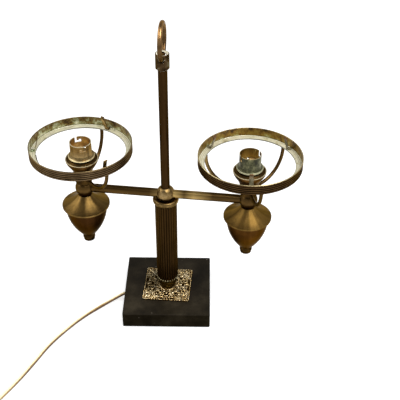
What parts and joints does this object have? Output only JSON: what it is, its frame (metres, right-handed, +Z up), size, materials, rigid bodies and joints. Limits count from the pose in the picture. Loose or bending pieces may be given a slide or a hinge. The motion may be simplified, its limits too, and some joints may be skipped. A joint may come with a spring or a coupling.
{
  "type": "double-head table lamp",
  "caption": "Brass table lamp on a square stone slab: reeded column, straight arms with urns, bayonet lampholders in shade galleries, tall mast with a carrying ring.",
  "frame": {"origin": "on the table under the column's axis", "axes": "+Z up along the column, X along the arms towards the right lampholder, front at -Y"},
  "size_m": [0.3304, 0.346, 0.3679],
  "materials": {
    "stone": "polished stone",
    "felt": "felt",
    "dark_brass": "dark patina",
    "bright_brass": "satin, worn",
    "stem_brass": "threaded",
    "contact": "bright",
    "steel": "plain",
    "porcelain": "glazed porcelain",
    "flex": "gold coloured two-core flex",
    "lead": "insulated wire",
    "black_plastic": "moulded"
  },
  "bodies": {
    "lamp": {"base_felt": "felt", "base_nut": "steel", "base_slab": "stone", "coil_tie": "black_plastic", "column_capital": "bright_brass", "column_foot": "dark_brass", "column_tube": "dark_brass", "connector_block": "porcelain", "cord_bush": "black_plastic", "cord_coil": "flex", "cord_run": "flex", "cord_tail": "flex", "hub_ball": "bright_brass", "inner_flex": "flex", "inner_leads": "lead", "left_arm": "dark_brass", "left_font_bowl": "dark_brass", "left_font_cover": "bright_brass", "left_font_knob": "dark_brass", "left_font_stud": "stem_brass", "left_gallery_clips": "dark_brass", "left_gallery_ring": "dark_brass", "left_head_ball": "bright_brass", "left_holder_barrel": "bright_brass", "left_holder_base": "bright_brass", "left_holder_insulator": "porcelain", "left_nipple": "stem_brass", "left_prong_hub": "dark_brass", "left_prongs": "dark_brass", "left_socket_cup": "dark_brass", "left_spring_a": "steel", "left_spring_b": "steel", "mast_ferrule": "dark_brass", "mast_tube": "dark_brass", "plug_body": "black_plastic", "plug_pins": "contact", "right_arm": "dark_brass", "right_font_bowl": "dark_brass", "right_font_cover": "bright_brass", "right_font_knob": "dark_brass", "right_font_stud": "stem_brass", "right_gallery_clips": "dark_brass", "right_gallery_ring": "dark_brass", "right_head_ball": "bright_brass", "right_holder_barrel": "bright_brass", "right_holder_base": "bright_brass", "right_holder_insulator": "porcelain", "right_nipple": "stem_brass", "right_prong_hub": "dark_brass", "right_prongs": "dark_brass", "right_socket_cup": "dark_brass", "right_spring_a": "steel", "right_spring_b": "steel", "scroll_plate": "bright_brass", "tie_rod": "stem_brass"},
    "ring": {"carry_ring": "bright_brass"},
    "left_contact_a": {"left_plunger_a": "contact"},
    "left_contact_b": {"left_plunger_b": "contact"},
    "right_contact_a": {"right_plunger_a": "contact"},
    "right_contact_b": {"right_plunger_b": "contact"}
  },
  "joints": [
    {"name": "carry_ring_swing", "type": "hinge", "parent": "lamp", "child": "ring", "pos_m": [0, 0, 0.32956], "axis": [-0.0314, 0.9995, 0], "range_deg": [-135, 135]},
    {"name": "left_contact_a_press", "type": "slide", "parent": "lamp", "child": "left_contact_a", "axis": [0, 0, -1], "range_m": [0, 0.003], "stiffness_N_per_m": 400, "springref_m": -0.003, "deforming": ["left_spring_a"]},
    {"name": "left_contact_b_press", "type": "slide", "parent": "lamp", "child": "left_contact_b", "axis": [0, 0, -1], "range_m": [0, 0.003], "stiffness_N_per_m": 400, "springref_m": -0.003, "deforming": ["left_spring_b"]},
    {"name": "right_contact_a_press", "type": "slide", "parent": "lamp", "child": "right_contact_a", "axis": [0, 0, -1], "range_m": [0, 0.003], "stiffness_N_per_m": 400, "springref_m": -0.003, "deforming": ["right_spring_a"]},
    {"name": "right_contact_b_press", "type": "slide", "parent": "lamp", "child": "right_contact_b", "axis": [0, 0, -1], "range_m": [0, 0.003], "stiffness_N_per_m": 400, "springref_m": -0.003, "deforming": ["right_spring_b"]}
  ]
}
